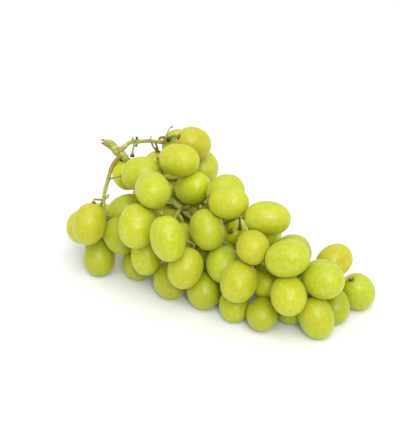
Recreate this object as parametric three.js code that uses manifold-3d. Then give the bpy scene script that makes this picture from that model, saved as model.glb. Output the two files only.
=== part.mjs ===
// A bunch of white table grapes, lying on its side on a level surface.
//
// Millimetres, +Z up. X runs along the bunch from the cut stalk (-X) to the tip (+X), -Y is the
// full side of the bunch and Z = 0 is the surface it lies on. The origin ends up on that
// surface, under the middle of the bunch. The bunch grew as one thing, so nothing in it moves:
// the stem, with every branch and berry stalk, is one solid, and each berry is a solid of its
// own at the end of its stalk.
//
// Each berry is given a rough place by hand. settle() then pushes the berries apart until none
// meets another, a main branch or the surface, and growStem() finds each berry's stalk a way
// between the berries to the nearest wood.

import * as THREE from 'three';
import { mergeVertices } from 'three/addons/utils/BufferGeometryUtils.js';
import Module from 'manifold-3d';

const wasm = await Module();
wasm.setup();

const GAP = 0.3;             // air between neighbouring solids
const REST_DEPTH = 0.25;     // how far a resting berry is flattened by its own weight
const STALK_RADIUS = 0.8;    // a berry's own stalk
const COLLAR_RADIUS = 1.5;   // the collar that the stalk widens to at its berry
const COLLAR_LENGTH = 1.6;
const STALK_LEAD = 5;        // how far a stalk aims on in line with its berry before it turns aside
const BERRY_SIDES = 12;
const BERRY_RINGS = 7;
const STEM_END_RADIUS = 1.7; // the small flat where a berry meets its collar
const FINEST_EDGE = 0.03;    // shorter edges are closed up where shoots run into each other

const SETTLE_ROUNDS = 500;   // passes of pushing apart; the last third lets go of the rough places
const HOME_PULL = 0.03;      // share of the way back to its rough place that a berry moves in a pass
const ROUTE_POINTS = 6;      // points along a berry's stalk
const ROUTE_ROUNDS = 80;

// The main branches, each a smooth line through points, with radii that run evenly from its
// start to its end. The stalk runs into the axis, and the side branches start on one of them.
const BRANCHES = {
  stalk: {
    radii: [1.9, 2.6, 2.5, 2.2, 1.9],
    points: [[-86, 13, 69], [-83, 14, 68], [-79, 14, 65], [-75, 14, 63], [-71, 14, 60]],
  },
  axis: {
    radii: [1.9, 1.6],
    points: [[-71, 14, 60], [-65, 13, 57], [-57, 13, 52], [-46, 9, 49], [-37, 6, 46], [-28, 5, 42],
      [-21, 4, 38]],
  },
  axisTip: {
    radii: [1.6, 1.4, 1.1],
    points: [[-21, 4, 38], [-11, 2, 36], [3, -2, 32], [17, -6, 29], [32, -12, 28], [47, -15, 28],
      [59, -13, 26], [67, -5, 20], [75, 3, 19]],
  },
  nearShoulder: {
    radii: [1.8, 1.2, 1.1, 1.0, 0.8],
    points: [[-75, 13, 63], [-76, 9, 61], [-76, 3, 58], [-75, -2, 54], [-74, -8, 48], [-72, -13, 42],
      [-70, -15, 35], [-69, -14, 32]],
  },
  farShoulder: {
    radii: [1.8, 1.2, 1.1, 1.0, 0.7],
    points: [[-77, 13, 65], [-75, 15, 67], [-72, 19, 70], [-69, 22, 70], [-61, 25, 71], [-54, 27, 71],
      [-50, 29, 74], [-47, 29, 76], [-43, 29, 76]],
  },
  topSide: {
    radii: [1.1, 0.9],
    points: [[-57, 13, 52], [-49, 10, 55], [-43, 9, 57], [-39, 10, 56], [-34, 13, 56]],
  },
  frontSide: { radii: [1.2, 0.8], points: [[-28, 5, 42], [-25, -6, 44], [-23, -18, 42], [-24, -26, 37]] },
  knot: { radii: [1.4, 1.2], points: [[-28, 5, 42], [-23, 2, 45], [-21, 2, 47]] },
  middleSide: {
    radii: [1.1, 0.8],
    points: [[-9, 1, 36], [-3, 0, 37], [0, 0, 41], [4, 0, 43], [9, 1, 46], [15, 1, 51]],
  },
};

// Twigs that carry no berry: the torn end of the stalk, stubs, and stalks that lost their berry.
const TWIGS = {
  upperSplinter: { radii: [1.6, 0.5], points: [[-84, 13, 69], [-86, 13, 70], [-89, 12, 71]] },
  lowerSplinter: { radii: [1.4, 0.6], points: [[-83, 12, 69], [-85, 11, 69], [-87, 10, 70]] },
  farStubs: { radii: [0.7, 0.6], points: [[-70, 20, 70], [-70, 20, 71], [-71, 20, 73]] },
  farKnobAbove: { radii: [0.9, 0.8], points: [[-69, 21, 70], [-69, 22, 71], [-69, 22, 73]] },
  farKnobBelow: { radii: [0.9, 0.7], points: [[-68, 22, 70], [-68, 20, 69], [-68, 19, 68]] },
  curvedStalk: {
    radii: [0.7, 0.6, 0.7, 1.6],
    points: [[-70, 20, 70], [-69, 18, 68], [-68, 15, 66], [-67, 13, 64]],
  },
  farSpur: { radii: [0.6, 0.5], points: [[-61, 25, 71], [-61, 25, 73], [-61, 26, 74]] },
  slantStalk: { radii: [0.7, 0.6, 1.3], points: [[-60, 25, 70], [-60, 26, 67], [-58, 27, 65]] },
  shortKnob: { radii: [0.8, 1.0], points: [[-56, 27, 71], [-56, 28, 73], [-53, 28, 74]] },
  tendril: { radii: [0.6, 0.5, 0.6], points: [[-52, 29, 73], [-52, 30, 76], [-52, 32, 78], [-50, 33, 80]] },
  facingKnob: { radii: [0.9, 1.5], points: [[-51, 29, 74], [-50, 28, 74], [-49, 26, 74]] },
  nearStub: { radii: [0.7, 0.8, 0.5], points: [[-72, -11, 45], [-71, -10, 46], [-71, -9, 47]] },
  innerStalk: { radii: [0.8, 0.7, 1.4], points: [[13, 1, 49], [13, 2, 45], [13, 2, 40]] },
};

// The berries, from the stalk to the tip. Each row is the rough place of the middle (x, y, z),
// the heading and pitch in degrees that its blossom end points to, its length and its width.
const HANGING = [
  // The end of the near shoulder.
  [-72, -28, 35, -85, -60, 25, 19],
  [-85, -17, 24, 145, -60, 23, 19],
  [-85, 2, 21, 125, -65, 22, 18],
  [-58, -19, 27, -45, -30, 23, 19],
  // Under the stalk and along the far shoulder.
  [-73, 17, 49, 55, -75, 21, 17],
  [-59, 30, 51, -60, -85, 20, 18],
  [-50, 36, 66, 110, -5, 22, 18],
  [-31, 25, 76, 50, -32, 22, 19],
  [-30, 35, 56, 120, 10, 23, 19],
  // Over the start of the axis.
  [-52, -1, 62, 17, 14, 24, 20],
  [-29, 6, 72, 5, 5, 24, 19],
  [-33, -20, 64, -45, 0, 24, 20],
  [-23, 8, 54, -20, 30, 24, 19],
  [-43, 17, 46, 80, -20, 21, 17],
  // The full front, hanging off the axis and its front side branch.
  [-65, -1, 34, -135, -25, 24, 17],
  [-37, -31, 45, -95, -55, 26, 21],
  [-32, -27, 22, -55, -60, 22, 17],
  [-12, -38, 46, -35, -60, 26, 19],
  [-4, -32, 26, -95, -50, 24, 19],
  [2, -16, 45, -35, -50, 24, 19],
  [-33, -1, 32, -65, -5, 21, 18],
  [-17, -13, 33, -60, -35, 19, 15],
  [12, -19, 26, -55, -5, 24, 20],
  [30, -32, 28, -85, -35, 24, 20],
  [34, -22, 46, -55, 5, 22, 18],
  // Over the middle of the axis.
  [-2, 9, 58, 65, 5, 23, 20],
  [11, -8, 61, 15, 5, 23, 18],
  [-14, 19, 44, 75, 10, 20, 17],
  [33, -5, 56, 25, -5, 26, 19],
  [6, 8, 30, 99, -36, 22, 18],
  [28, 5, 39, 90, -30, 22, 18],
  // The tip.
  [36, -11, 16, -55, -15, 22, 18],
  [55, -23, 45, 15, 20, 25, 20],
  [49, -3, 36, 95, -10, 26, 21],
  [60, -28, 26, -60, -12, 24, 20],
  [73, -14, 32, -15, 5, 25, 21],
  [71, 8, 32, 65, 13, 22, 18],
  // The far side.
  [-60, 20, 35, 120, -45, 23, 19],
  [-44, 16, 28, 120, -40, 22, 18],
  [-28, 20, 34, 100, -10, 25, 21],
  [-7, 25, 27, 65, -10, 23, 19],
  [22, 10, 20, 55, -25, 22, 19],
];

// The berries that the bunch rests on.
const RESTING = [
  [-71, -22, 12, -55, -40, 24, 19],
  [-47, -15, 9, -60, -10, 23, 19],
  [-21, -24, 10, -60, -10, 24, 20],
  [4, -25, 10, -55, 0, 23, 20],
  [26, -28, 9, -60, -15, 21, 17],
  [44, -27, 9, -70, -20, 21, 17],
  [56, -17, 8, -40, -10, 19, 17],
  [72, -20, 12, -25, -55, 24, 19],
  [77, -1, 9, -60, -32, 21, 17],
  [83, 15, 12, 60, -58, 23, 19],
  [-33, 9, 11, 165, -45, 24, 19],
  [-18, 23, 10, 105, -35, 24, 18],
  [3, 14, 11, 80, -40, 24, 19],
  [40, 8, 10, 55, -30, 23, 19],
  [56, 19, 9, 135, -20, 23, 18],
  [-10, -6, 11, -140, -65, 24, 18],
  [21, -8, 10, -165, -50, 22, 18],
];

const UP = new THREE.Vector3(0, 0, 1);

function vec([x, y, z]) {
  return new THREE.Vector3(x, y, z);
}

// The unit vector of a heading (turned from +X towards +Y) and a pitch above the horizontal.
function direction(heading, pitch) {
  const turn = THREE.MathUtils.degToRad(heading);
  const rise = THREE.MathUtils.degToRad(pitch);
  return new THREE.Vector3(Math.cos(rise) * Math.cos(turn), Math.cos(rise) * Math.sin(turn), Math.sin(rise));
}

function makeBerry([x, y, z, heading, pitch, length, width], resting) {
  return {
    middle: new THREE.Vector3(x, y, z),
    home: new THREE.Vector3(x, y, z),
    blossom: direction(heading, pitch),
    half: length / 2,
    radius: width / 2,
    resting,
  };
}

// How far a berry reaches from its middle along a unit vector: the support of its ellipsoid.
function reach(berry, along) {
  const lengthwise = berry.blossom.dot(along);
  return Math.sqrt(berry.radius ** 2 + (berry.half ** 2 - berry.radius ** 2) * lengthwise ** 2);
}

// A point in line with the berry, so far outside its stem end.
function beyondStemEnd(berry, distance) {
  return berry.middle.clone().addScaledVector(berry.blossom, -(berry.half + distance));
}

// The middle of the berry's collar.
function collarMiddle(berry) {
  return beyondStemEnd(berry, GAP + COLLAR_LENGTH / 2);
}

// What a berry lacks to stand clear of a ball; above zero they meet. `away` is set to point
// from the ball to the berry.
function overlapWithBall(berry, ball, radius, away) {
  away.subVectors(berry.middle, ball);
  const distance = away.length();
  away.divideScalar(distance);
  return reach(berry, away) + radius + GAP - distance;
}

function pushApart(first, second, away) {
  away.subVectors(first.middle, second.middle);
  const distance = away.length();
  away.divideScalar(distance);
  const overlap = reach(first, away) + reach(second, away) + GAP - distance;
  if (overlap > 0) {
    first.middle.addScaledVector(away, overlap / 2);
    second.middle.addScaledVector(away, -overlap / 2);
  }
}

// Where a neighbour is in the way of a berry's collar, the neighbour gives way and the berry's
// stem end swings aside by as much.
function clearCollar(berry, neighbour, away) {
  const collar = collarMiddle(berry);
  const overlap = overlapWithBall(neighbour, collar, COLLAR_RADIUS, away);
  if (overlap > 0) {
    neighbour.middle.addScaledVector(away, overlap / 2);
    collar.addScaledVector(away, -overlap / 2);
    berry.blossom.subVectors(berry.middle, collar).normalize();
  }
}

function keepOffSurface(berry) {
  const rest = reach(berry, UP) - REST_DEPTH;
  if (berry.resting) {
    berry.middle.z = rest;
  } else {
    berry.middle.z = Math.max(berry.middle.z, rest + REST_DEPTH + GAP);
  }
}

function settle(berries, wood) {
  const away = new THREE.Vector3();
  for (let round = 0; round < SETTLE_ROUNDS; round += 1) {
    for (const [index, berry] of berries.entries()) {
      for (const other of berries.slice(index + 1)) {
        pushApart(berry, other, away);
      }
      for (const other of berries) {
        if (other !== berry) {
          clearCollar(berry, other, away);
        }
      }
      for (const { point, radius } of wood) {
        const overlap = overlapWithBall(berry, point, radius, away);
        if (overlap > 0) {
          berry.middle.addScaledVector(away, overlap);
        }
      }
      if (round < SETTLE_ROUNDS * 2 / 3) {
        berry.middle.lerp(berry.home, HOME_PULL);
      }
      keepOffSurface(berry);
    }
  }
}

// The radius a share (0 to 1) of the way along a branch.
function radiusAt(radii, share) {
  const place = share * (radii.length - 1);
  return THREE.MathUtils.lerp(radii[Math.floor(place)], radii[Math.ceil(place)], place % 1);
}

// Points close together along a branch, each with the branch's radius there.
function branchWood({ radii, points }) {
  const curve = new THREE.CatmullRomCurve3(points.map(vec));
  const count = Math.ceil(curve.getLength() / 1.5);
  return curve.getSpacedPoints(count)
    .map((point, index) => ({ point, radius: radiusAt(radii, index / count) }));
}

// A berry's stalk: a line of points from its collar to the nearest wood, each moved halfway
// into line with its neighbours and then out of the berries that it would run through.
function routeStalk(berry, wood, berries) {
  const start = beyondStemEnd(berry, GAP);
  const leave = beyondStemEnd(berry, GAP + COLLAR_LENGTH * 1.5);
  const aim = beyondStemEnd(berry, STALK_LEAD);
  const end = wood.reduce((best, { point }) => (
    point.distanceTo(aim) < best.distanceTo(aim) ? point : best), wood[0].point);
  const points = [start, leave];
  for (let step = 1; step < ROUTE_POINTS - 1; step += 1) {
    points.push(leave.clone().lerp(end, step / (ROUTE_POINTS - 2)));
  }
  const away = new THREE.Vector3();
  for (let round = 0; round < ROUTE_ROUNDS; round += 1) {
    for (let index = 2; index < points.length - 1; index += 1) {
      const point = points[index];
      const between = points[index - 1].clone().add(points[index + 1]).multiplyScalar(0.5);
      point.lerp(between, 0.5);
      for (const other of berries) {
        const overlap = overlapWithBall(other, point, STALK_RADIUS + 0.15, away);
        if (overlap > 0) {
          point.addScaledVector(away, -overlap);
        }
      }
    }
  }
  return points;
}

// The stalks of all berries. The berries nearest the main branches come first, so that the
// outer ones can join the stalk of an inner one, as a real bunch forks.
function routeStalks(berries, mainWood) {
  const wood = [...mainWood];
  const toWood = (berry) => Math.min(...mainWood.map(({ point }) => point.distanceTo(collarMiddle(berry))));
  const order = [...berries].sort((first, second) => toWood(first) - toWood(second));
  return order.map((berry) => {
    const points = routeStalk(berry, wood, berries);
    const inner = points.slice(Math.ceil(points.length / 2));
    wood.push(...inner.map((point) => ({ point, radius: STALK_RADIUS })));
    return points;
  });
}

function toSolid(geometry) {
  const bare = geometry.index ? geometry.toNonIndexed() : geometry.clone();
  bare.deleteAttribute('normal');
  bare.deleteAttribute('uv');
  const merged = mergeVertices(bare, 1e-4);
  return new wasm.Manifold(new wasm.Mesh({
    numProp: 3,
    vertProperties: new Float32Array(merged.attributes.position.array),
    triVerts: new Uint32Array(merged.index.array),
  }));
}

function toGeometry(solid) {
  const { vertProperties, triVerts } = solid.getMesh();
  const geometry = new THREE.BufferGeometry();
  geometry.setAttribute('position', new THREE.BufferAttribute(new Float32Array(vertProperties), 3));
  geometry.setIndex(new THREE.BufferAttribute(new Uint32Array(triVerts), 1));
  geometry.computeVertexNormals();
  return geometry;
}

// A closed tube along a smooth line through points, with flat ends.
function tubeGeometry(points, radii, steps, sides) {
  const curve = new THREE.CatmullRomCurve3(points);
  const { normals, binormals } = curve.computeFrenetFrames(steps);
  const corners = curve.getSpacedPoints(steps).flatMap((middle, ring) => {
    const radius = radiusAt(radii, ring / steps);
    return Array.from({ length: sides }, (_, side) => {
      const angle = (side / sides) * 2 * Math.PI;
      return middle.clone()
        .addScaledVector(normals[ring], radius * Math.cos(angle))
        .addScaledVector(binormals[ring], radius * Math.sin(angle));
    });
  });
  const faces = [];
  for (let ring = 0; ring < steps; ring += 1) {
    for (let side = 0; side < sides; side += 1) {
      const corner = ring * sides + side;
      const beside = ring * sides + (side + 1) % sides;
      faces.push(corner, beside, corner + sides, beside, beside + sides, corner + sides);
    }
  }
  const last = steps * sides;
  for (let side = 1; side < sides - 1; side += 1) {
    faces.push(0, side + 1, side, last, last + side, last + side + 1);
  }
  return new THREE.BufferGeometry().setFromPoints(corners).setIndex(faces);
}

function branchGeometry({ radii, points }) {
  const stout = radii[0] > STALK_RADIUS * 1.1;
  return tubeGeometry(points.map(vec), radii, Math.max(points.length, radii.length) + 1, stout ? 8 : 6);
}

// A berry's stalk, widened at its start to the collar.
function stalkGeometry(points) {
  const radii = [COLLAR_RADIUS, ...Array(ROUTE_POINTS).fill(STALK_RADIUS)];
  return tubeGeometry(points, radii, ROUTE_POINTS, 5);
}

function growStem(berries, mainWood) {
  const branches = [...Object.values(BRANCHES), ...Object.values(TWIGS)].map(branchGeometry);
  const stalks = routeStalks(berries, mainWood).map(stalkGeometry);
  const whole = [...branches, ...stalks].map(toSolid).reduce((grown, piece) => grown.add(piece));
  return toGeometry(whole.simplify(FINEST_EDGE));
}

// A berry's outline turned about its long axis, with a small flat at the stem end.
function berryGeometry(berry) {
  const profile = [new THREE.Vector2(0, -berry.half)];
  const flat = Math.asin(STEM_END_RADIUS / berry.radius);
  for (let ring = 0; ring < BERRY_RINGS; ring += 1) {
    const angle = flat + (ring / (BERRY_RINGS - 1)) * (Math.PI - flat - Math.PI / (BERRY_RINGS + 1));
    const height = ring === 0 ? -berry.half : -berry.half * Math.cos(angle);
    profile.push(new THREE.Vector2(berry.radius * Math.sin(angle), height));
  }
  profile.push(new THREE.Vector2(0, berry.half));
  const geometry = new THREE.LatheGeometry(profile, BERRY_SIDES);
  const along = new THREE.Vector3(0, 1, 0);
  geometry.applyQuaternion(new THREE.Quaternion().setFromUnitVectors(along, berry.blossom));
  geometry.translate(...berry.middle.toArray());
  return geometry;
}

// A resting berry is lowered onto the surface and flattened where it meets it.
function restingGeometry(berry) {
  const geometry = berryGeometry(berry);
  geometry.computeBoundingBox();
  geometry.translate(0, 0, -REST_DEPTH - geometry.boundingBox.min.z);
  const under = new THREE.BoxGeometry(60, 60, 20).translate(berry.middle.x, berry.middle.y, -10);
  return toGeometry(toSolid(geometry).subtract(toSolid(under)));
}

const skin = new THREE.MeshStandardMaterial({ color: 0xc6cc4a, roughness: 0.45, metalness: 0 });
const wood = new THREE.MeshStandardMaterial({ color: 0x9a9a3e, roughness: 0.7, metalness: 0 });

function named(name, geometry, material) {
  const mesh = new THREE.Mesh(geometry, material);
  mesh.name = name;
  return mesh;
}

function buildBunch() {
  const berries = [
    ...HANGING.map((row) => makeBerry(row, false)),
    ...RESTING.map((row) => makeBerry(row, true)),
  ];
  const mainWood = Object.values(BRANCHES).flatMap(branchWood);
  settle(berries, [...mainWood, ...Object.values(TWIGS).flatMap(branchWood)]);

  const bunch = new THREE.Group();
  bunch.add(named('stem', growStem(berries, mainWood), wood));
  for (const [index, berry] of berries.entries()) {
    const geometry = berry.resting ? restingGeometry(berry) : toGeometry(toSolid(berryGeometry(berry)));
    bunch.add(named(`berry_${String(index + 1).padStart(2, '0')}`, geometry, skin));
  }
  const middle = new THREE.Box3().setFromObject(bunch).getCenter(new THREE.Vector3());
  bunch.position.set(-middle.x, -middle.y, 0);
  return bunch;
}

export default buildBunch();
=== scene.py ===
"""A bunch of white table grapes: smooth translucent berries on a knotty stem, on a white surface.

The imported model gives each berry's place, length, width and lean. The berries are rebuilt as
smooth skins that press on each other, and the stem as ridged, knotted shoots with a collar at
every berry. Lengths are in metres unless a name or a docstring says otherwise.
"""

import logging
import math
from dataclasses import dataclass, field
from enum import Enum

import bpy
import numpy as np
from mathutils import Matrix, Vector


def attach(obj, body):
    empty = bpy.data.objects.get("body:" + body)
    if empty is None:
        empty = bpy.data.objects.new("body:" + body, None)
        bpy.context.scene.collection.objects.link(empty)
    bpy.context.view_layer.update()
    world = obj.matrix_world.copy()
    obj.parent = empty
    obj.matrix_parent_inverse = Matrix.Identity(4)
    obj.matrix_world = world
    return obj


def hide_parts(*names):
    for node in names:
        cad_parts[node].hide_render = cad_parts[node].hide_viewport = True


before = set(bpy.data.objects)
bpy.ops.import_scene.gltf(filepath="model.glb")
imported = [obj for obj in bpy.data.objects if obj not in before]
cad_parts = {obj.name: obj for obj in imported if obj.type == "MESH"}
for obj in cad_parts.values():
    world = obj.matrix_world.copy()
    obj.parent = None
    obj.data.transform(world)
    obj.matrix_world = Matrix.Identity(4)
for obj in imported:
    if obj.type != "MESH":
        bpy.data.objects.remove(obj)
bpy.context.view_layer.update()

MM = 0.001
FULL_TURN = 2 * math.pi
LOG = logging.getLogger("bunch")

Array = np.ndarray
Colour = tuple[float, float, float, float]
Place = tuple[float, float, float]
Socket = bpy.types.NodeSocket


class Ripeness(Enum):
    """How far a berry's colour has turned, from green to golden."""

    GREEN = 0.28
    YELLOW = 0.5
    GOLDEN = 0.78


# Berries that stand out from the yellow-green of the rest.
TURNED = {
    Ripeness.GOLDEN: (1, 2, 8, 25, 37),
    Ripeness.GREEN: (13, 22, 23, 28, 30, 44, 49, 51, 52),
}
DRIFT = 0.16  # how much ripeness wanders from berry to berry
DRIFT_STEP = 2.4  # radians of the wandering between one number and the next
TURNED_DRIFT = 0.3  # the share of the wandering that the berries named above keep


class PaintedShading(Enum):
    """The painted light and shade of a berry's colour, from -1, painted paler, to 1, painted darker towards
    olive.
    """

    PALE = -0.42
    LIGHT = -0.15
    PLAIN = 0.08
    FULL = 0.22
    DEEP = 0.42


# Painted light and shade: berries in the gaps of the bunch are painted paler, standing in for light that
# passes through the berries round them, and those low on the surface, under the others, are painted darker,
# standing in for shade.
PAINTED_SHADING = {
    PaintedShading.PALE: (5, 14, 28, 30, 31, 32),
    PaintedShading.LIGHT: (3, 6, 13),
    PaintedShading.FULL: (1, 8, 19, 20, 22, 24, 25, 34, 37, 47, 50),
    PaintedShading.DEEP: (4, 21, 43, 44, 45, 46, 48, 49, 51),
}

# Where the random numbers of each kind of piece start.
BERRY_SEED = 700
BRANCH_SEED = 40
TWIG_SEED = 60
STALK_SEED = 90


# ---------------------------------------------------------------- meshes


@dataclass
class Patch:
    """A closed skin over rings of points, with a pole at each end.

    Attributes:
        rings: points as (rings, around, 3).
        poles: the first and last pole, as (2, 3).
        values: named numbers per ring, as (rings,). A pole has the number of the ring beside it.
    """

    rings: Array
    poles: Array
    values: dict[str, Array]

    def points(self) -> Array:
        """All points: the rings in order, then the two poles."""
        return np.vstack([self.rings.reshape(-1, 3), self.poles])

    def point_values(self, name: str) -> Array:
        """A named number for every point, in the order of points()."""
        value = self.values[name]
        return np.concatenate([np.repeat(value, self.rings.shape[1]), value[[0, -1]]])

    def faces(self) -> tuple[Array, Array, Array, Array]:
        """The faces that join each ring to the next and the end rings to the poles.

        Returns:
            Quads (n, 4), their UVs (n, 4, 2), triangles (m, 3) and their UVs (m, 3, 2). U runs
            once around and V runs from the first pole to the last.
        """
        rows, around = self.rings.shape[:2]
        row, col = np.meshgrid(np.arange(rows - 1), np.arange(around), indexing="ij")
        row, col = row.ravel(), col.ravel()
        right = (col + 1) % around
        quads = np.stack([row * around + col, row * around + right,
                          (row + 1) * around + right, (row + 1) * around + col], axis=1)
        across = np.stack([col, col + 1, col + 1, col], axis=1) / around
        down = np.stack([row + 1, row + 1, row + 2, row + 2], axis=1) / (rows + 1)
        side = np.arange(around)
        beside = (side + 1) % around
        last = (rows - 1) * around
        first_pole = np.full(around, rows * around)
        tris = np.vstack([
            np.stack([first_pole, beside, side], axis=1),
            np.stack([first_pole + 1, last + side, last + beside], axis=1),
        ])
        middle = (side + 0.5) / around
        start = np.stack([np.stack([middle, (side + 1) / around, side / around], axis=1),
                          np.tile([0.0, 1 / (rows + 1), 1 / (rows + 1)], (around, 1))], axis=2)
        end = np.stack([np.stack([middle, side / around, (side + 1) / around], axis=1),
                        np.tile([1.0, rows / (rows + 1), rows / (rows + 1)], (around, 1))], axis=2)
        return quads, np.stack([across, down], axis=2), tris, np.vstack([start, end])


def make_object(name: str, patches: list[Patch], material: bpy.types.Material) -> bpy.types.Object:
    """One smooth object out of several patches, placed where their points say.

    Args:
        name: the object's name.
        patches: the skins it is made of, which all name the same numbers.
        material: its finish.

    Returns:
        The object, linked to the scene.
    """
    loops, uvs, sizes, offset = [], [], [], 0
    for patch in patches:
        quads, quad_uvs, tris, tri_uvs = patch.faces()
        loops += [(quads + offset).ravel(), (tris + offset).ravel()]
        uvs += [quad_uvs.reshape(-1, 2), tri_uvs.reshape(-1, 2)]
        sizes += [np.full(len(quads), 4), np.full(len(tris), 3)]
        offset += len(patch.points())
    points = np.vstack([patch.points() for patch in patches])
    size = np.concatenate(sizes)
    first_loops = np.concatenate([[0], np.cumsum(size)[:-1]])
    mesh = bpy.data.meshes.new(name)
    mesh.vertices.add(len(points))
    mesh.vertices.foreach_set("co", points.astype(np.float32).ravel())
    mesh.loops.add(int(size.sum()))
    mesh.loops.foreach_set("vertex_index", np.concatenate(loops).astype(np.int32))
    mesh.polygons.add(len(size))
    mesh.polygons.foreach_set("loop_start", first_loops.astype(np.int32))
    mesh.polygons.foreach_set("use_smooth", np.ones(len(size), dtype=bool))
    mesh.update(calc_edges=True)
    layer = mesh.uv_layers.new(name="skin")
    layer.uv.foreach_set("vector", np.vstack(uvs).astype(np.float32).ravel())
    for key in patches[0].values:
        value = np.concatenate([patch.point_values(key) for patch in patches])
        attribute = mesh.attributes.new(key, "FLOAT", "POINT")
        attribute.data.foreach_set("value", value.astype(np.float32))
    mesh.validate()
    mesh.materials.append(material)
    obj = bpy.data.objects.new(name, mesh)
    bpy.context.collection.objects.link(obj)
    return obj


def unit(vectors: Array) -> Array:
    """The vectors along their last axis, scaled to length one."""
    return vectors / np.linalg.norm(vectors, axis=-1, keepdims=True)


def square_to(axis: Array) -> tuple[Array, Array]:
    """Two unit vectors square to an axis and to each other, turning to the right about it.

    Args:
        axis: unit vectors as (..., 3).

    Returns:
        The two vectors, in the shape of axis.
    """
    mean = np.abs(axis.reshape(-1, 3).mean(axis=0))
    guide = np.eye(3)[int(np.argmin(mean))]
    side = unit(np.cross(axis, guide))
    return side, np.cross(axis, side)


def travelled(line: Array) -> Array:
    """The distance travelled along a line of points (n, 3), at each of them."""
    return np.concatenate([[0.0], np.cumsum(np.linalg.norm(np.diff(line, axis=0), axis=1))])


# ---------------------------------------------------------------- materials


@dataclass(frozen=True)
class Pattern:
    """A noise pattern, and how much of it shows.

    Attributes:
        scale: how fine it is, in waves per unit of its coordinates.
        detail: how many finer layers it has.
        rough: how strong each finer layer is.
        starts: the noise from which it shows.
        full: the noise from which it shows in full.
        strength: how strongly it shows then.
    """

    scale: float
    detail: float = 2.0
    rough: float = 0.5
    starts: float = 0.0
    full: float = 1.0
    strength: float = 1.0


class Nodes:
    """Short calls for building the node tree of a material or a sky."""

    def __init__(self, owner: bpy.types.Material | bpy.types.World) -> None:
        """Starts an empty tree.

        Args:
            owner: what the tree belongs to.
        """
        owner.use_nodes = True
        self.tree = owner.node_tree
        self.tree.nodes.clear()

    def add(self, kind: str, settings: dict[str, object] | None = None, **inputs: object) -> bpy.types.Node:
        """One node, with its inputs linked to sockets or set to values.

        Args:
            kind: the node's type without its ShaderNode prefix.
            settings: properties of the node itself.
            inputs: input names, with _ for a space, or _ and a number for an unnamed input, to a
                socket or a value.

        Returns:
            The node.
        """
        node = self.tree.nodes.new("ShaderNode" + kind)
        for key, value in (settings or {}).items():
            setattr(node, key, value)
        for key, value in inputs.items():
            name = int(key[1:]) if key[1:].isdigit() else key.replace("_", " ")
            if isinstance(value, Socket):
                self.tree.links.new(value, node.inputs[name])
            else:
                node.inputs[name].default_value = value
        return node

    def attribute(self, name: str) -> Socket:
        """A named number of the mesh."""
        return self.add("Attribute", {"attribute_name": name}).outputs["Fac"]

    def math(self, operation: str, first: object, second: object = 0.0) -> Socket:
        """The result of a Math node."""
        return self.add("Math", {"operation": operation}, _0=first, _1=second).outputs[0]

    def ramp(self, value: Socket, low: float, high: float, at_low: float = 0.0,
             at_high: float = 1.0) -> Socket:
        """A value carried smoothly from one range to another, and held at the ends of both."""
        return self.add("MapRange", {"interpolation_type": "SMOOTHSTEP"}, Value=value,
                        From_Min=low, From_Max=high, To_Min=at_low, To_Max=at_high).outputs[0]

    def noise(self, place: Socket, pattern: Pattern) -> Socket:
        """A pattern's noise at a place, between 0 and 1."""
        return self.add("TexNoise", None, Vector=place, Scale=pattern.scale, Detail=pattern.detail,
                        Roughness=pattern.rough).outputs[0]

    def shown(self, noise: Socket, pattern: Pattern) -> Socket:
        """How strongly a pattern shows where its noise has this value."""
        return self.ramp(noise, pattern.starts, pattern.full, 0.0, pattern.strength)

    def broken_up(self, value: Socket, noise: Socket, sway: float, low: float, high: float) -> Socket:
        """An amount that rises from low to high of a value that noise sways up and down."""
        moved = self.math("MULTIPLY", self.math("SUBTRACT", noise, 0.5), sway)
        return self.ramp(self.math("ADD", value, moved), low, high)

    def mix(self, amount: object, first: object, second: object) -> Socket:
        """Two colours mixed by an amount."""
        return self.add("Mix", {"data_type": "RGBA"}, _0=amount, _6=first, _7=second).outputs[2]

    def finish(self, shader: bpy.types.Node, output: str = "OutputMaterial") -> None:
        """Ends the tree at a shader."""
        self.add(output, None, Surface=shader.outputs[0])


def colour(red: float, green: float, blue: float) -> Colour:
    """An opaque colour."""
    return (red, green, blue, 1.0)


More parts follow.
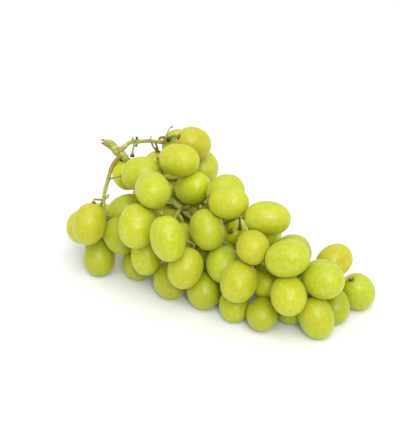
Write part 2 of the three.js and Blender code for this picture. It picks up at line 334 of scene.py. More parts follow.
@dataclass(frozen=True)
class BerrySkin:
    """Thin waxy skin over clear flesh: yellow-green, veined, freckled, with a brown blossom scar.

    Attributes:
        green, yellow, golden: its colour when unripe, half ripe and ripe. Warm patches are golden.
        pale, deep: the painted light and the painted shade that a berry's colour is mixed with.
        vein, bloom, sheen: the colours of the veins, of the wax, and of the wax seen at a slant.
        freckle, scar: the colours of the freckles and the skin round the stalk, and of the
            blossom scar.
        patches, streaks, clouds: the warm patches, the pale streaks that follow the veins, and
            the small pale clouds.
        haze, grain: the wax, which also dulls and lifts the skin, and the skin's fine grain.
        threads: the noise that draws a vein wherever it has its middle value.
        vein_width, vein_strength: how far from that value a vein reaches, and how strongly it
            shows.
        vein_rise, vein_choice: how much the veins' noise changes from pole to pole, and how far
            apart that of different berries lies.
        freckles, freckle_scale: where the skin is freckled, and how fine the freckles are.
        freckle_size: the radii of a freckle's dark middle and of the whole, against their spacing.
        scar_place: where along the berry the blossom scar starts and is full.
        scar_chance, scar_strength: the random numbers of the weakest and the strongest scar, and
            how strongly those two show.
        stalk_place, stalk_strength: where the brown round the stalk starts to fade and ends, and
            how strongly it shows.
        haze_height, grain_height: how much the wax and the grain add to the relief.
        relief, relief_strength: how high the relief stands, and how strongly the light shows it.
        dull_haze, dull: the noise of thin and of thick wax, and how rough the skin is there.
        flesh_reach, flesh_tint: how far light reaches into the flesh, and the shares of that
            distance for red, green and blue.
    """

    green: Colour = colour(0.37, 0.47, 0.008)
    yellow: Colour = colour(0.46, 0.50, 0.004)
    golden: Colour = colour(0.56, 0.48, 0.008)
    # pale and deep are painted light and painted shade, mixed into the colour of chosen berries.
    pale: Colour = colour(0.78, 0.83, 0.004)
    deep: Colour = colour(0.24, 0.28, 0.001)
    vein: Colour = colour(0.60, 0.64, 0.08)
    bloom: Colour = colour(0.60, 0.65, 0.12)
    sheen: Colour = colour(0.85, 0.92, 0.35)
    freckle: Colour = colour(0.30, 0.20, 0.02)
    scar: Colour = colour(0.20, 0.12, 0.02)
    patches: Pattern = Pattern(90.0, 3.0, 0.5, 0.45, 0.75, 0.30)
    threads: Pattern = Pattern(5.5, 3.0, 0.55)
    vein_width: float = 0.04
    vein_strength: float = 0.26
    vein_rise: float = 0.9
    vein_choice: float = 17.0
    streaks: Pattern = Pattern(2.6, 4.0, 0.6, 0.42, 0.66, 0.15)
    clouds: Pattern = Pattern(420.0, 2.0, 0.5, 0.45, 0.68, 0.32)
    haze: Pattern = Pattern(190.0, 5.0, 0.62, 0.42, 0.72, 0.22)
    freckles: Pattern = Pattern(260.0, 0.0, 0.5, 0.62, 0.70, 0.40)
    freckle_scale: float = 420.0
    freckle_size: tuple[float, float] = (0.05, 0.13)
    scar_place: tuple[float, float] = (0.980, 0.990)
    scar_chance: tuple[float, float] = (0.2, 0.9)
    scar_strength: tuple[float, float] = (0.25, 0.7)
    stalk_place: tuple[float, float] = (0.055, 0.085)
    stalk_strength: float = 0.5
    grain: Pattern = Pattern(1600.0, 3.0, 0.6)
    haze_height: float = 0.6
    grain_height: float = 0.25
    relief: float = 0.12 * MM
    relief_strength: float = 0.25
    dull_haze: tuple[float, float] = (0.35, 0.75)
    dull: tuple[float, float] = (0.32, 0.46)
    flesh_tint: tuple[float, float, float] = (1.0, 0.90, 0.10)
    flesh_reach: float = 12.0 * MM

    def material(self) -> bpy.types.Material:
        """The finish as a material.

        Returns:
            A material that reads the berry's ripeness, painted light and shade and own random number, and its
            UV map.
        """
        material = bpy.data.materials.new("berry_skin")
        n = Nodes(material)
        coordinates = n.add("TexCoord").outputs
        place = coordinates["Object"]
        around, along = n.add("SeparateXYZ", None, Vector=coordinates["UV"]).outputs[:2]
        chance = n.attribute("chance")
        haze = n.noise(place, self.haze)
        body = self.ripe_colour(n, place)
        body = self.with_veins(n, body, around, along, chance)
        body = n.mix(n.shown(n.noise(place, self.clouds), self.clouds), body, self.bloom)
        body = n.mix(n.shown(haze, self.haze), body, self.bloom)
        # Painted light and shade: above 0 the berry's colour is mixed towards the deep olive, painted shade,
        # and below 0 towards the pale yellow, painted light.
        painted_shading = n.attribute("painted_shading")
        body = n.mix(n.math("MAXIMUM", painted_shading, 0.0), body, self.deep)
        body = n.mix(n.math("MAXIMUM", n.math("MULTIPLY", painted_shading, -1.0), 0.0), body, self.pale)
        body = self.with_marks(n, body, place, along, chance)
        height = n.math("ADD", n.math("MULTIPLY", haze, self.haze_height),
                        n.math("MULTIPLY", n.noise(place, self.grain), self.grain_height))
        bump = n.add("Bump", None, Strength=self.relief_strength, Distance=self.relief, Height=height)
        n.finish(n.add(
            "BsdfPrincipled", {"subsurface_method": "RANDOM_WALK"}, Base_Color=body,
            Roughness=n.ramp(haze, *self.dull_haze, *self.dull), Normal=bump.outputs[0],
            Subsurface_Weight=0.8, Subsurface_Radius=self.flesh_tint,
            Subsurface_Scale=self.flesh_reach, Subsurface_Anisotropy=0.3, Specular_IOR_Level=0.42,
            Sheen_Weight=0.30, Sheen_Roughness=0.35, Sheen_Tint=self.sheen))
        return material

    def ripe_colour(self, n: Nodes, place: Socket) -> Socket:
        """The flesh's colour: green to yellow to golden as it ripens, with warm patches.

        Args:
            n: the material's nodes.
            place: the place on the bunch.

        Returns:
            The colour.
        """
        ripe = n.attribute("ripeness")
        body = n.mix(n.ramp(ripe, 0.0, 0.5), self.green, self.yellow)
        body = n.mix(n.ramp(ripe, 0.5, 1.0), body, self.golden)
        return n.mix(n.shown(n.noise(place, self.patches), self.patches), body, self.golden)

    def with_veins(self, n: Nodes, body: Socket, around: Socket, along: Socket, chance: Socket) -> Socket:
        """The colour with veins and streaks that run from pole to pole.

        Their noise is read on a circle, which turns with U and hardly rises with V.

        Args:
            n: the material's nodes.
            body: the colour so far.
            around: the way round the berry, from 0 to 1.
            along: the way from its stem end to its blossom end, from 0 to 1.
            chance: the berry's random number.

        Returns:
            The colour.
        """
        turn = n.math("MULTIPLY", around, FULL_TURN)
        rise = n.math("ADD", n.math("MULTIPLY", along, self.vein_rise),
                      n.math("MULTIPLY", chance, self.vein_choice))
        circle = n.add("CombineXYZ", None, X=n.math("COSINE", turn), Y=n.math("SINE", turn), Z=rise)
        place = circle.outputs[0]
        off_middle = n.math("ABSOLUTE", n.math("SUBTRACT", n.noise(place, self.threads), 0.5))
        body = n.mix(n.ramp(off_middle, 0.0, self.vein_width, self.vein_strength, 0.0), body, self.vein)
        return n.mix(n.shown(n.noise(place, self.streaks), self.streaks), body, self.bloom)

    def with_marks(self, n: Nodes, body: Socket, place: Socket, along: Socket, chance: Socket) -> Socket:
        """The colour with freckles, a blossom scar and brown skin round the stalk.

        Args:
            n: the material's nodes.
            body: the colour so far.
            place: the place on the bunch.
            along: the way from the berry's stem end to its blossom end, from 0 to 1.
            chance: the berry's random number.

        Returns:
            The colour.
        """
        cells = n.add("TexVoronoi", {"feature": "F1"}, Vector=place, Scale=self.freckle_scale)
        dot = n.ramp(cells.outputs["Distance"], *self.freckle_size, 1.0, 0.0)
        freckled = n.shown(n.noise(place, self.freckles), self.freckles)
        body = n.mix(n.math("MULTIPLY", dot, freckled), body, self.freckle)
        scarred = n.ramp(chance, *self.scar_chance, *self.scar_strength)
        body = n.mix(n.math("MULTIPLY", n.ramp(along, *self.scar_place), scarred), body, self.scar)
        return n.mix(n.ramp(along, *self.stalk_place, self.stalk_strength, 0.0), body, self.freckle)


@dataclass(frozen=True)
class StemBark:
    """Ridged green shoots that turn orange-brown at the knots and dark brown at the dry ends.

    Attributes:
        green, pale: the colours of the bark and of its streaks.
        rust, dry: its colours at knots and joints, and at dry ends.
        streaks, blotches, grain: the pale streaks, the noise that breaks up the rust, and the
            fine grain.
        rust_sway, dry_sway: how far the blotches move the rust, and the streaks the dryness.
        rust_edge, dry_edge: the moved numbers at which those colours start and are full.
        rust_strength: how strongly the rust shows.
        grain_height: how high the grain stands against the streaks.
        relief: how high the relief stands.
        dull: how rough fresh and dry bark are.
    """

    green: Colour = colour(0.30, 0.36, 0.045)
    pale: Colour = colour(0.50, 0.54, 0.16)
    rust: Colour = colour(0.29, 0.165, 0.018)
    dry: Colour = colour(0.10, 0.062, 0.012)
    streaks: Pattern = Pattern(420.0, 4.0, 0.6, 0.40, 0.68)
    blotches: Pattern = Pattern(130.0, 3.0, 0.6)
    grain: Pattern = Pattern(1500.0, 4.0, 0.6)
    rust_sway: float = 0.9
    rust_edge: tuple[float, float] = (0.20, 0.85)
    rust_strength: float = 0.85
    dry_sway: float = 0.7
    dry_edge: tuple[float, float] = (0.35, 0.85)
    grain_height: float = 0.5
    relief: float = 0.2 * MM
    dull: tuple[float, float] = (0.55, 0.85)

    def material(self) -> bpy.types.Material:
        """The finish as a material.

        Returns:
            A material that reads the mesh's rust and dryness numbers.
        """
        material = bpy.data.materials.new("stem_bark")
        n = Nodes(material)
        place = n.add("TexCoord").outputs["Object"]
        streak, blotch = n.noise(place, self.streaks), n.noise(place, self.blotches)
        rusty = n.broken_up(n.attribute("rust"), blotch, self.rust_sway, *self.rust_edge)
        dried = n.broken_up(n.attribute("dryness"), streak, self.dry_sway, *self.dry_edge)
        body = n.mix(n.shown(streak, self.streaks), self.green, self.pale)
        body = n.mix(n.math("MULTIPLY", rusty, self.rust_strength), body, self.rust)
        body = n.mix(dried, body, self.dry)
        height = n.math("ADD", streak, n.math("MULTIPLY", n.noise(place, self.grain), self.grain_height))
        bump = n.add("Bump", None, Strength=0.6, Distance=self.relief, Height=height)
        n.finish(n.add(
            "BsdfPrincipled", {"subsurface_method": "RANDOM_WALK"}, Base_Color=body,
            Roughness=n.ramp(dried, 0.0, 1.0, *self.dull), Normal=bump.outputs[0],
            Subsurface_Weight=0.15, Subsurface_Radius=(1.0, 0.8, 0.2), Subsurface_Scale=0.8 * MM,
            Specular_IOR_Level=0.3))
        return material


@dataclass(frozen=True)
class LightTable:
    """The smooth white surface that the bunch lies on, lit a little from below.

    Attributes:
        white: its colour.
        glow: how brightly it shines by itself.
    """

    white: Colour = colour(0.81, 0.81, 0.82)
    glow: float = 0.05

    def material(self) -> bpy.types.Material:
        """The finish as a material.

        Returns:
            The material.
        """
        material = bpy.data.materials.new("light_table")
        n = Nodes(material)
        n.finish(n.add("BsdfPrincipled", None, Base_Color=self.white, Roughness=0.9, Specular_IOR_Level=0.1,
                       Emission_Color=self.white, Emission_Strength=self.glow))
        return material


# ---------------------------------------------------------------- berries

COLLAR_POINTS = 8  # how many stem points lie around a berry's stem end
TOUCHING = 30 * MM  # the middles of two berries that press on each other are closer than this

# How much further out than its node the skin of a berry lies, and of those that fill a gap.
SWELL = 0.30 * MM
FILLING_SWELL = 0.95 * MM
FILLING = (14, 40)


def node_points(name: str) -> Array:
    """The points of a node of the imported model.

    Args:
        name: the node's name.

    Returns:
        The points, each once, as (n, 3).
    """
    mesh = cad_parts[name].data
    points = np.empty(len(mesh.vertices) * 3, dtype=np.float32)
    mesh.vertices.foreach_get("co", points)
    return np.unique(points.reshape(-1, 3).round(6), axis=0).astype(float)


def oval_reach(half: Array | float, radius: Array | float, lengthwise: Array) -> Array:
    """How far ovals reach along unit vectors that run this much lengthwise.

    It is the root of radius squared plus lengthwise squared times (half squared less radius
    squared).
    """
    return np.sqrt(radius ** 2 + (half ** 2 - radius ** 2) * lengthwise ** 2)


@dataclass
class Berry:
    """One berry: an oval about its own axis, pressed in where it meets others.

    Attributes:
        number: its number in the bunch, from 1.
        middle: the middle of the oval.
        blossom: unit vector from the stem end to the blossom end.
        half: half its length.
        radius: half its width.
        fullness: how full its outline is, where 2 is an ellipse.
        lump: how much its width wavers, as a share of it.
        dimple_depth, dimple_width: how deep and how wide the dent at its stem end is.
        scar_depth, scar_width: how deep and how wide the dent at its blossom end is.
        rows, around: how many rings it has between its poles, and how many points a ring has.
    """

    number: int
    middle: Array
    blossom: Array
    half: float
    radius: float
    fullness: float = 2.12
    lump: float = 0.012
    dimple_depth: float = 0.45 * MM
    dimple_width: float = 1.5 * MM
    scar_depth: float = 0.12 * MM
    scar_width: float = 0.55 * MM
    rows: int = 40
    around: int = 56

    @classmethod
    def measured(cls, number: int, stem: Array) -> "Berry":
        """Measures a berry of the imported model.

        The axis is the direction in which the node's points spread most, and the stem end is the
        end that a stalk's collar lies at: its nearest stem points are closer on average.

        Args:
            number: the berry's number.
            stem: the points of the stem node.

        Returns:
            The berry.
        """
        points = node_points(f"berry_{number:02d}")
        middle = (points.min(axis=0) + points.max(axis=0)) / 2
        axis = np.linalg.svd(points - points.mean(axis=0), full_matrices=False)[2][0]
        along = (points - middle) @ axis
        middle = middle + axis * (along.min() + along.max()) / 2
        half = np.ptp(along) / 2
        off_axis = np.linalg.norm((points - middle) - np.outer((points - middle) @ axis, axis), axis=1)
        ends = middle + np.outer([-half, half], axis)
        near = [np.sort(np.linalg.norm(stem - end, axis=1))[:COLLAR_POINTS].mean() for end in ends]
        blossom = axis if near[0] < near[1] else -axis
        return cls(number, middle, blossom, half, float(off_axis.max()))

    def outside(self, distance: float) -> Array:
        """The point on the axis that lies this far outside the stem end."""
        return self.middle - self.blossom * (self.half + distance)

    def reach(self, toward: Array) -> float:
        """How far the berry reaches from its middle along a unit vector."""
        return float(oval_reach(self.half, self.radius, toward @ self.blossom))

    def ripeness(self) -> float:
        """How far its colour has turned, from 0 to 1.

        Returns:
            The value of its ripeness, which wanders a little from berry to berry.
        """
        drift = DRIFT * math.sin(self.number * DRIFT_STEP)
        for ripeness, numbers in TURNED.items():
            if self.number in numbers:
                return ripeness.value + TURNED_DRIFT * drift
        return Ripeness.YELLOW.value + drift

    def painted_shading(self) -> float:
        """Its painted light and shade, from -1, painted light, to 1, painted shade."""
        return next((painted_shading for painted_shading, numbers in PAINTED_SHADING.items() if self.number in numbers), PaintedShading.PLAIN).value

    def skin(self, others: list["Berry"]) -> Patch:
        """The berry's skin.

        With t the angle from the stem end and h the height along the axis, the outline is
        (|h| / half) ** fullness + (r / radius) ** fullness = 1, carried round the axis. The
        width wavers by waves of two, three and five round the axis and by one wave along it.
        The stem end is pushed in by a bell curve of the distance from the axis, and the blossom
        end by a narrower one. Then what passes the plane midway to a neighbour, or the surface
        below, is pressed flat.

        Args:
            others: all berries of the bunch.

        Returns:
            The skin as a patch, from the stem end to the blossom end.
        """
        swell = FILLING_SWELL if self.number in FILLING else SWELL
        half, radius = self.half + swell, self.radius + swell
        angle = np.linspace(0.0, math.pi, self.rows + 2)[:, None]
        turn = np.arange(self.around)[None, :] * (FULL_TURN / self.around)
        cos, sin = np.cos(angle), np.sin(angle)
        scale = (np.abs(cos) ** self.fullness + np.abs(sin) ** self.fullness) ** (-1 / self.fullness)
        rng = np.random.default_rng(BERRY_SEED + self.number)
        phase = rng.uniform(0, FULL_TURN, 4)
        wave = (np.cos(2 * turn + phase[0]) * sin ** 2 + 0.6 * np.cos(3 * turn + phase[1]) * sin * cos
                + 0.5 * np.cos(angle * 2 + phase[2]) + 0.3 * np.cos(5 * turn + phase[3]) * sin ** 3)
        width = radius * scale * sin * (1 + self.lump * wave)
        dimple = self.dimple_depth * np.exp(-(width / self.dimple_width) ** 2) * (cos > 0)
        scar = self.scar_depth * np.exp(-(width / self.scar_width) ** 2) * (cos < 0)
        height = -half * scale * cos + dimple - scar
        side, up = square_to(self.blossom)
        points = (self.middle + height[..., None] * self.blossom
                  + (width * np.cos(turn))[..., None] * side + (width * np.sin(turn))[..., None] * up)
        points = self.pressed(points, others)
        # The last number carries the berry's painted light and shade.
        numbers = {"ripeness": self.ripeness(), "chance": rng.uniform(), "painted_shading": self.painted_shading()}
        return Patch(points[1:-1], points[[0, -1], 0],
                     {name: np.full(self.rows, number) for name, number in numbers.items()})

    def pressed(self, points: Array, others: list["Berry"]) -> Array:
        """Pushes in what passes the planes midway to the neighbours, and the surface at z = 0.

        Args:
            points: the skin's points.
            others: all berries of the bunch.

        Returns:
            The moved points.
        """
        for other in others:
            apart = other.middle - self.middle
            distance = float(np.linalg.norm(apart))
            if other is self or distance > TOUCHING:
                continue
            toward = apart / distance
            mine, theirs = self.reach(toward), other.reach(toward)
            plane = distance * mine / (mine + theirs)
            beyond = np.maximum((points - self.middle) @ toward - plane, 0.0)
            points = points - beyond[..., None] * toward
        points[..., 2] = np.maximum(points[..., 2], 0.0)
        return points

    def build(self, others: list["Berry"], material: bpy.types.Material) -> bpy.types.Object:
        """Makes the berry and lets it stand for its node.

        Args:
            others: all berries of the bunch.
            material: the berries' finish.

        Returns:
            The object.
        """
        obj = make_object(f"grape_{self.number:02d}", [self.skin(others)], material)
        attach(obj, "root")
        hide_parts(f"berry_{self.number:02d}")
        return obj


# ---------------------------------------------------------------- stem


@dataclass
class Shoot:
    """One shoot of the stem: a ridged tube along a line of points.

    Attributes:
        points: points that its line runs through, as (n, 3).
        radii: its radii, running evenly from its start to its end.
        rust: how rusty it is, from 0 to 1, running in the same way.
        dry_ends: how dry and brown its start and its end are, from 0 to 1.
        ridges: how many ridges run along it, and how high they stand as a share of its radius.
        knots: places along it where it swells and turns rusty, as (n, 3).
        knot_swell, knot_rust: how much it swells there, as a share of its radius, and its rust.
        knot_reach: how far a knot reaches, in radii, and how much further.
        waver: how much each of two wavers changes its radius, as a share of it.
        waver_lengths: how far along it each waver moves on by one radian.
        wind: how far along it the ridges turn by one radian.
        bulge: how far its ends bulge, as a share of its radius.
        dry_reach: how far the dry ends reach.
        around, spacing: how many points a ring has, and how far apart the rings are.
        curve_steps: how many points the curve has between two given ones.
        seed: starts its own wavers.
    """

    points: Array
    radii: Array
    rust: tuple[float, ...] = (0.0,)
    dry_ends: tuple[float, float] = (0.0, 0.0)
    ridges: tuple[int, float] = (5, 0.05)
    knots: Array = field(default_factory=lambda: np.empty((0, 3)))
    knot_swell: float = 0.30
    knot_rust: float = 0.5
    knot_reach: tuple[float, float] = (1.2, 0.5 * MM)
    waver: float = 0.05
    waver_lengths: tuple[float, float] = (2.3 * MM, 0.9 * MM)
    wind: float = 14 * MM
    bulge: float = 0.10
    dry_reach: float = 1.6 * MM
    around: int = 12
    spacing: float = 0.6 * MM
    curve_steps: int = 16
    seed: int = 0

    def line(self) -> Array:
        """Evenly spaced points on the Catmull-Rom curve through the shoot's points.

        Between two points, the curve is half the sum of twice the start, the share s of the way
        times (stop less before), s squared times (2 before less 5 start plus 4 stop less after),
        and s cubed times (3 start less before less 3 stop plus after).

        Returns:
            The points, as (n, 3).
        """
        ends = np.vstack([2 * self.points[0] - self.points[1], self.points,
                          2 * self.points[-1] - self.points[-2]])
        steps = np.linspace(0.0, 1.0, self.curve_steps, endpoint=False)[:, None]
        pieces = []
        for before, start, stop, after in zip(ends, ends[1:], ends[2:], ends[3:]):
            pieces.append(0.5 * (2 * start + (stop - before) * steps
                                 + (2 * before - 5 * start + 4 * stop - after) * steps ** 2
                                 + (3 * start - before - 3 * stop + after) * steps ** 3))
        curve = np.vstack([*pieces, self.points[-1:]])
        distance = travelled(curve)
        wanted = np.linspace(0.0, distance[-1], max(6, int(distance[-1] / self.spacing)))
        return np.stack([np.interp(wanted, distance, curve[:, axis]) for axis in range(3)], axis=1)

    def knottiness(self, line: Array, radius: Array) -> Array:
        """How near each point of the line is to a knot: a bell curve of the distance to it.

        Args:
            line: the points of the line.
            radius: the radius at each of them.

        Returns:
            A number for each point, 1 at a knot.
        """
        if not len(self.knots):
            return np.zeros(len(line))
        gap = np.linalg.norm(line[:, None] - self.knots[None], axis=2)
        radii, further = self.knot_reach
        return np.exp(-(gap / (radii * radius[:, None] + further)) ** 2).max(axis=1)

    def skin(self) -> Patch:
        """The shoot's skin: its radius carried along the line.

        The radius runs through the given ones, swells by a bell curve at each knot, wavers by
        two slow sines, and stands up in ridges that wind slowly round the line.

        Returns:
            The skin as a patch.
        """
        line = self.line()
        tangent = unit(np.gradient(line, axis=0))
        side, up = square_to(tangent)
        length = travelled(line)
        share = length / length[-1]
        radius = np.interp(share, np.linspace(0.0, 1.0, len(self.radii)), self.radii)
        rust = np.interp(share, np.linspace(0.0, 1.0, len(self.rust)), self.rust)
        phase = np.random.default_rng(self.seed).uniform(0, FULL_TURN, 3)
        knot = self.knottiness(line, radius)
        slow, quick = self.waver_lengths
        wavers = np.sin(length / slow + phase[0]) + np.sin(length / quick + phase[1])
        radius = radius * (1 + self.waver * wavers) * (1 + self.knot_swell * knot)
        turn = np.arange(self.around)[None, :] * (FULL_TURN / self.around)
        count, height = self.ridges
        wound = length[:, None] / self.wind + phase[2]
        width = radius[:, None] * (1 + height * np.cos(count * turn + wound))
        rings = (line[:, None] + (width * np.cos(turn))[..., None] * side[:, None]
                 + (width * np.sin(turn))[..., None] * up[:, None])
        bulge = self.bulge * radius[[0, -1]]
        poles = np.stack([line[0] - tangent[0] * bulge[0], line[-1] + tangent[-1] * bulge[1]])
        dry = (self.dry_ends[0] * np.exp(-(length / self.dry_reach) ** 2)
               + self.dry_ends[1] * np.exp(-((length[-1] - length) / self.dry_reach) ** 2))
        return Patch(rings, poles, {"rust": np.maximum(rust, self.knot_rust * knot), "dryness": dry})


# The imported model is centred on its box, which lies a little aside from where the branches are drawn.
BRANCHES_TO_FRAME = np.array([1.17, 0.12, 0.0])

# A branch whose radius reaches above this has more ridges and swells less at its knots.
STOUT_MM = 1.3


@dataclass(frozen=True)
class Branch:
    """A branch or a bare twig, in millimetres.

    Attributes:
        radii: its radii, running evenly from its start to its end.
        line: points that it runs through.
        rust: how rusty it is, from 0 to 1, running in the same way.
        dry: how dry and brown its end is, from 0 to 1.
    """

    radii: tuple[float, ...]
    line: tuple[Place, ...]
    rust: tuple[float, ...] = (0.1,)
    dry: float = 0.0

    def points(self) -> Array:
        """The line in metres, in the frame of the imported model."""
        return (np.array(self.line, dtype=float) + BRANCHES_TO_FRAME) * MM

    def shoot(self, knots: Array, seed: int) -> Shoot:
        """The branch as a shoot.

        Args:
            knots: where other shoots join the stem.
            seed: starts its own wavers.

        Returns:
            The shoot.
        """
        shoot = Shoot(self.points(), np.array(self.radii) * MM, self.rust, (0.0, self.dry),
                      knots=knots, seed=seed)
        if max(self.radii) > STOUT_MM:
            shoot.ridges, shoot.knot_swell, shoot.around = (6, 0.06), 0.08, 22
        return shoot


# The stalk runs into the axis, and the side branches start on one of them.
BRANCHES = {
    "stalk": Branch(
        (1.9, 2.3, 2.6, 2.6, 2.3),
        ((-71, 14, 60), (-75, 14, 63), (-79, 14, 65), (-83, 14, 68), (-86, 13, 69)),
        (0.1, 0.1, 0.1, 0.1, 0.5), 0.4),
    "axis": Branch(
        (1.9, 1.6),
        ((-71, 14, 60), (-65, 13, 57), (-57, 13, 52), (-46, 9, 49), (-37, 6, 46), (-28, 5, 42),
         (-21, 4, 38))),
    "axis_tip": Branch(
        (1.6, 1.4, 1.1),
        ((-21, 4, 38), (-11, 2, 36), (3, -2, 32), (17, -6, 29), (32, -12, 28), (47, -15, 28),
         (59, -13, 26), (67, -5, 20), (75, 3, 19)),
        (0.2, 0.5), 0.5),
    "near_shoulder": Branch(
        (1.5, 1.2, 1.1, 1.0, 0.8),
        ((-75, 13, 63), (-76, 9, 61), (-76, 3, 58), (-75, -2, 54), (-74, -8, 48), (-72, -13, 42),
         (-70, -15, 35), (-69, -14, 32)),
        (0.7, 0.9, 0.7, 0.35, 0.3, 0.25, 0.3, 0.9), 0.6),
    "far_shoulder": Branch(
        (1.8, 1.2, 1.1, 1.0, 0.7),
        ((-77, 13, 65), (-75, 15, 67), (-72, 19, 70), (-69, 22, 70), (-61, 25, 71), (-54, 27, 71),
         (-50, 29, 74), (-47, 29, 76), (-43, 29, 76)),
        (0.8, 0.2, 0.1, 0.1, 0.5, 0.3, 0.7, 0.6, 0.8), 0.8),
    "top_side": Branch(
        (1.1, 0.9),
        ((-57, 13, 52), (-49, 10, 55), (-43, 9, 57), (-39, 10, 56), (-34, 13, 56)),
        (0.5, 0.9), 0.8),
    "front_side": Branch((1.2, 0.8), ((-28, 5, 42), (-25, -6, 44), (-23, -18, 42), (-24, -26, 37))),
    "knot": Branch((1.4, 1.2), ((-28, 5, 42), (-23, 2, 45), (-21, 2, 47)), (0.4, 0.9), 0.2),
    "middle_side": Branch(
        (1.1, 0.8),
        ((-9, 1, 36), (-3, 0, 37), (0, 0, 41), (4, 0, 43), (9, 1, 46), (15, 1, 51)),
        (0.3, 0.6), 0.3),
}

# Twigs that carry no berry: the torn end of the stalk, stubs, and stalks that lost their berry.
TWIGS = {
    "upper_splinter": Branch((1.6, 0.35), ((-84, 13, 69), (-86, 13, 70), (-89, 12, 71)), (0.2, 0.5), 0.5),
    "lower_splinter": Branch((1.4, 0.5), ((-83, 12, 69), (-85, 11, 69), (-87, 10, 70)), (0.6, 1.0), 1.0),
    "far_stub": Branch((0.6, 0.5), ((-70, 20, 70), (-70, 20, 71), (-71, 20, 73)), (0.4,), 0.7),
    "far_knob_above": Branch((0.9, 0.75), ((-69, 21, 70), (-69, 22, 71), (-69, 22, 73)), (0.5,), 1.0),
    "far_knob_below": Branch((0.9, 0.65), ((-68, 22, 70), (-68, 20, 69), (-68, 19, 68)), (0.5,), 0.8),
    "curved_stalk": Branch(
        (0.65, 0.5, 0.6, 1.5), ((-70, 20, 70), (-69, 18, 68), (-68, 15, 66), (-67, 13, 64)), (0.6,), 1.0),
    "far_spur": Branch((0.5, 0.35), ((-61, 25, 71), (-61, 25, 73), (-61, 26, 74)), (0.1,), 0.5),
    "slant_stalk": Branch((0.6, 0.5, 1.2), ((-60, 25, 70), (-60, 26, 67), (-58, 27, 65)), (0.1,), 0.9),
    "short_knob": Branch((0.7, 0.9), ((-56, 27, 71), (-56, 28, 73), (-53, 28, 74)), (0.7,), 0.6),
    "tendril": Branch(
        (0.5, 0.35, 0.45), ((-52, 29, 73), (-52, 30, 76), (-52, 32, 78), (-50, 33, 80)), (0.3,), 0.8),
    "facing_knob": Branch((0.8, 1.4), ((-51, 29, 74), (-50, 28, 74), (-49, 26, 74)), (0.7,), 0.9),
    "near_stub": Branch((0.6, 0.7, 0.4), ((-72, -11, 45), (-71, -10, 46), (-71, -9, 47)), (0.4,), 0.7),
    "inner_stalk": Branch((0.6, 0.5, 1.3), ((13, 1, 49), (13, 2, 45), (13, 2, 40)), (0.6,), 1.0),
}


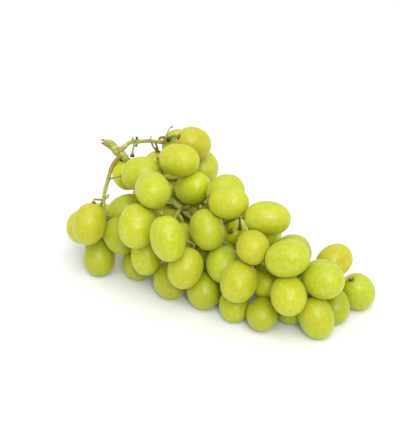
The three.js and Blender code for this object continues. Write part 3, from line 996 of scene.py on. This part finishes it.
@dataclass
class Stem:
    """The stem: the main branches, the bare twigs, and a stalk with a collar for every berry.

    Attributes:
        berries: the berries to reach.
        stalk_radius: the radius of a berry's stalk between its foot and its collar.
        foot_swell, foot_reach: how much thicker its foot is, and how far that reaches.
        collar_radius, collar_reach: the collar's radius, and how far it reaches along the stalk.
        collar_middle: how far outside the berry the middle of the collar lies.
        stalk_points: how many points a stalk's line has.
        sunk: how far the stalk's end is sunk into the berry.
        straight: how far out the stalk runs straight along the berry's axis.
        lead: how far out along that axis the nearest wood is looked for.
        clearance: how far a stalk's skin stays from the berries.
        route_rounds: how many rounds of moving settle a stalk's line.
        stalk_steps: how many radii and rust numbers a stalk has.
        rust_least, rust_foot, rust_collar: the rust of every stalk, and what the rustiest foot
            and every collar add to it.
        rust_reach: how far a collar's rust reaches.
        dry_ends: how dry a stalk's foot and its collar are, from 0 to 1.
    """

    berries: list[Berry]
    stalk_radius: float = 0.58 * MM
    foot_swell: float = 0.4 * MM
    foot_reach: float = 1.4 * MM
    collar_radius: float = 1.45 * MM
    collar_reach: float = 1.2 * MM
    collar_middle: float = 1.1 * MM
    stalk_points: int = 6
    sunk: float = 0.1 * MM
    straight: float = 2.6 * MM
    lead: float = 5 * MM
    clearance: float = 0.4 * MM
    route_rounds: int = 80
    stalk_steps: int = 24
    rust_least: float = 0.15
    rust_foot: float = 0.55
    rust_collar: float = 0.7
    rust_reach: float = 2.6 * MM
    dry_ends: tuple[float, float] = (0.1, 0.8)

    def route(self, berry: Berry, wood: Array) -> Array:
        """A line from a berry's stem end to the nearest wood, clear of the berries.

        The points between start evenly spaced. In each round they move halfway into line with
        their neighbours, and then out of the berry that they lie deepest in.

        Args:
            berry: the berry to reach.
            wood: points of the wood that it can join.

        Returns:
            The line, from the wood to the berry.
        """
        end = wood[np.argmin(np.linalg.norm(wood - berry.outside(self.lead), axis=1))]
        line = np.vstack([berry.outside(-self.sunk),
                          np.linspace(berry.outside(self.straight), end, self.stalk_points - 1)])
        middles = np.array([other.middle for other in self.berries])
        axes = np.array([other.blossom for other in self.berries])
        halves = np.array([other.half for other in self.berries])
        radii = np.array([other.radius for other in self.berries])
        for _ in range(self.route_rounds):
            for index in range(2, len(line) - 1):
                line[index] += 0.5 * ((line[index - 1] + line[index + 1]) / 2 - line[index])
                away = line[index] - middles
                distance = np.linalg.norm(away, axis=1)
                away /= distance[:, None]
                reach = oval_reach(halves, radii, np.einsum("ij,ij->i", away, axes))
                inside = reach + self.stalk_radius + self.clearance - distance
                deepest = int(np.argmax(inside))
                if inside[deepest] > 0:
                    line[index] += away[deepest] * inside[deepest]
        return line[::-1]

    def stalks(self) -> list[Array]:
        """The lines of all berry stalks, those nearest the main branches first.

        An outer stalk can join an inner one, as a real bunch forks.

        Returns:
            The lines, each from the wood to its berry.
        """
        wood = np.vstack([Shoot(branch.points(), np.ones(1)).line() for branch in BRANCHES.values()])
        gaps = {berry.number: np.linalg.norm(wood - berry.outside(self.collar_middle), axis=1).min()
                for berry in self.berries}
        lines = []
        for berry in sorted(self.berries, key=lambda berry: gaps[berry.number]):
            line = self.route(berry, wood)
            lines.append(line)
            wood = np.vstack([wood, line[: self.stalk_points // 2]])
        return lines

    def stalk(self, line: Array, seed: int) -> Shoot:
        """A berry's stalk: slim, with a swollen foot, and a dry warty collar under the berry.

        The foot and the collar swell, and the collar rusts, by bell curves of the distance to
        them. The rust of the foot fades evenly towards the berry.

        Args:
            line: its line, from the wood to the berry.
            seed: starts its own rust and wavers.

        Returns:
            The stalk as a shoot.
        """
        share = np.linspace(0.0, 1.0, self.stalk_steps)
        away = share * travelled(line)[-1]
        to_berry = away[-1] - away
        radii = (self.stalk_radius + self.foot_swell * np.exp(-(away / self.foot_reach) ** 2)
                 + (self.collar_radius - self.stalk_radius) * np.exp(-(to_berry / self.collar_reach) ** 2))
        foot_rust = self.rust_foot * np.random.default_rng(seed).uniform()
        rust = (self.rust_least + foot_rust * (1 - share)
                + self.rust_collar * np.exp(-(to_berry / self.rust_reach) ** 2))
        return Shoot(line, radii, tuple(rust), self.dry_ends, knots=line[:1], seed=seed)

    def build(self, material: bpy.types.Material) -> bpy.types.Object:
        """Makes the stem and lets it stand for its node.

        Args:
            material: the stem's finish.

        Returns:
            The object.
        """
        lines = self.stalks()
        joints = np.array([line[0] for line in lines] + [twig.points()[0] for twig in TWIGS.values()])
        shoots = [branch.shoot(np.vstack([joints, branch.points()[:1]]), seed)
                  for seed, branch in enumerate(BRANCHES.values(), BRANCH_SEED)]
        shoots += [twig.shoot(twig.points()[:1], seed) for seed, twig in enumerate(TWIGS.values(), TWIG_SEED)]
        shoots += [self.stalk(line, seed) for seed, line in enumerate(lines, STALK_SEED)]
        obj = make_object("grape_stem", [shoot.skin() for shoot in shoots], material)
        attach(obj, "root")
        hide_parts("stem")
        return obj


# ---------------------------------------------------------------- stage


@dataclass(frozen=True)
class Beam:
    """Even light from one side.

    Attributes:
        name: its name in the scene.
        strength: its strength in watts per square metre.
        spread: how wide its source looks, in degrees, which sets how soft its shadows are.
        comes_from: a vector towards its source.
    """

    name: str
    strength: float
    spread: float
    comes_from: Place


@dataclass
class Stage:
    """The white surface, the soft light and the camera.

    Attributes:
        floor_half: half the length of the surface's sides.
        horizon, zenith: how bright the sky is from the horizon down, and overhead.
        beams: the lights.
        eye, target: where the camera is, and where it looks.
        lens_mm: its focal length, in millimetres.
        sight: how far it sees.
    """

    floor_half: float = 6.0
    horizon: float = 0.60
    zenith: float = 1.00
    beams: tuple[Beam, ...] = (Beam("overhead", 1.3, 45.0, (0.42, -0.42, 1.0)),
                               Beam("beside_camera", 0.8, 10.0, (0.53, -0.65, 0.60)))
    eye: Place = (0.2963, -0.5574, 0.3908)
    target: Place = (-0.0111, -0.0004, 0.0391)
    lens_mm: float = 99.05
    sight: float = 50.0

    def floor(self) -> None:
        """The white surface at z = 0."""
        half = self.floor_half
        mesh = bpy.data.meshes.new("floor")
        corners = [(-half, -half, 0.0), (half, -half, 0.0), (half, half, 0.0), (-half, half, 0.0)]
        mesh.from_pydata(corners, [], [(0, 1, 2, 3)])
        mesh.materials.append(LightTable().material())
        obj = bpy.data.objects.new("floor", mesh)
        bpy.context.collection.objects.link(obj)

    def light(self) -> None:
        """A white sky that is brightest overhead, and the beams."""
        world = bpy.data.worlds.new("sky")
        n = Nodes(world)
        height = n.add("SeparateXYZ", None, Vector=n.add("TexCoord").outputs["Generated"]).outputs[2]
        strength = n.ramp(height, 0.0, 1.0, self.horizon, self.zenith)
        n.finish(n.add("Background", None, Color=colour(1.0, 1.0, 1.0), Strength=strength), "OutputWorld")
        bpy.context.scene.world = world
        for beam in self.beams:
            lamp = bpy.data.lights.new(beam.name, "SUN")
            lamp.energy = beam.strength
            lamp.angle = math.radians(beam.spread)
            obj = bpy.data.objects.new(beam.name, lamp)
            obj.rotation_euler = Vector(beam.comes_from).to_track_quat("Z", "Y").to_euler()
            bpy.context.collection.objects.link(obj)

    def camera(self) -> None:
        """A long lens that looks down on the full side of the bunch."""
        data = bpy.data.cameras.new("camera")
        data.lens = self.lens_mm
        data.clip_end = self.sight
        obj = bpy.data.objects.new("camera", data)
        obj.location = self.eye
        obj.rotation_euler = (Vector(self.target) - Vector(self.eye)).to_track_quat("-Z", "Y").to_euler()
        bpy.context.collection.objects.link(obj)
        bpy.context.scene.camera = obj


def main() -> None:
    logging.basicConfig(level=logging.INFO, format="%(name)s: %(message)s")
    stem_points = node_points("stem")
    count = sum(name.startswith("berry_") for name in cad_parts)
    berries = [Berry.measured(number, stem_points) for number in range(1, count + 1)]
    skin = BerrySkin().material()
    for berry in berries:
        obj = berry.build(berries, skin)
        LOG.info("%s: %.1f x %.1f mm", obj.name, 2 * berry.half / MM, 2 * berry.radius / MM)
    stem = Stem(berries).build(StemBark().material())
    LOG.info("%s: %d faces", stem.name, len(stem.data.polygons))
    stage = Stage()
    stage.floor()
    stage.light()
    stage.camera()
    LOG.info("floor, sky, %d beams and camera", len(stage.beams))
    bpy.context.scene.view_settings.view_transform = "Standard"


if __name__ == "__main__":
    main()
